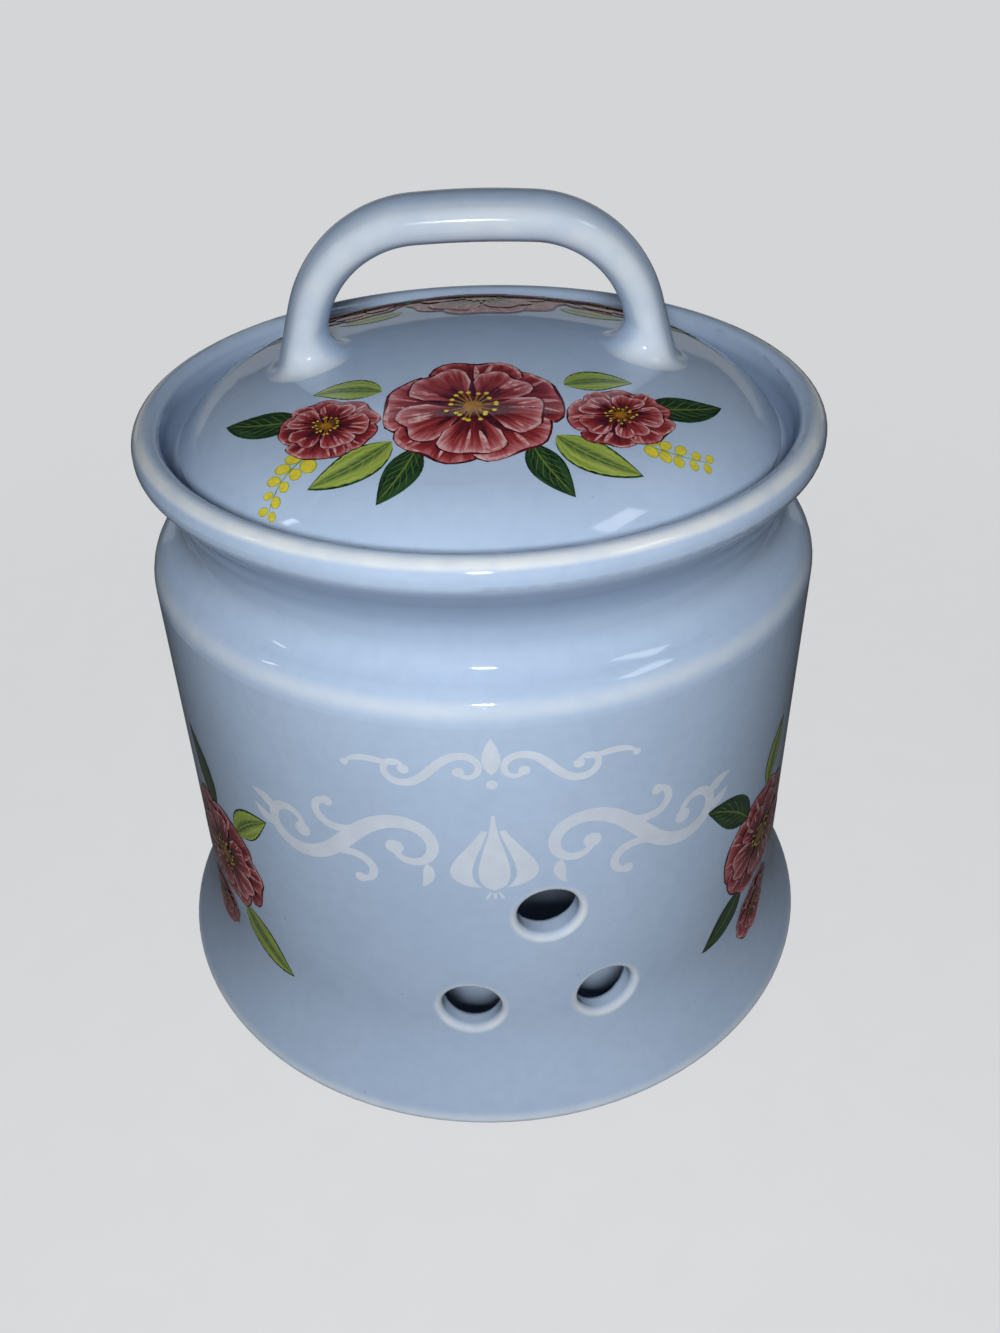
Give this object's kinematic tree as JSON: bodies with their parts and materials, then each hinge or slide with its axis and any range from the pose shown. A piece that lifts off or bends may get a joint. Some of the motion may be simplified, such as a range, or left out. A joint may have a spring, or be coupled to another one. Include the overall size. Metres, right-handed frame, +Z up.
{
  "type": "garlic keeper",
  "caption": "Round glazed stoneware jar with vent holes in its wall and a domed lid with an arched strap handle.",
  "frame": {"origin": "centre of the foot ring, on the surface that the jar stands on", "axes": "+Z up the axis of the jar, -Y towards the front with its vent holes, the handle along X"},
  "size_m": [0.1384, 0.1384, 0.1546],
  "materials": {
    "jar_glaze": "glossy pale blue glaze, cream where it thins over edges, with fired-on flower transfers",
    "lid_glaze": "glossy pale blue glaze, cream at the edge, with fired-on flower transfers",
    "handle_glaze": "glossy pale blue glaze, thinner and creamier on the grip"
  },
  "bodies": {
    "jar": {"jar": "jar_glaze"},
    "lid": {"lid": "lid_glaze", "lid_handle": "handle_glaze"}
  },
  "joints": [
    {"name": "lid_lift", "type": "slide", "parent": "jar", "child": "lid", "axis": [0, 0, 1], "range_m": [0, 0.12]}
  ]
}
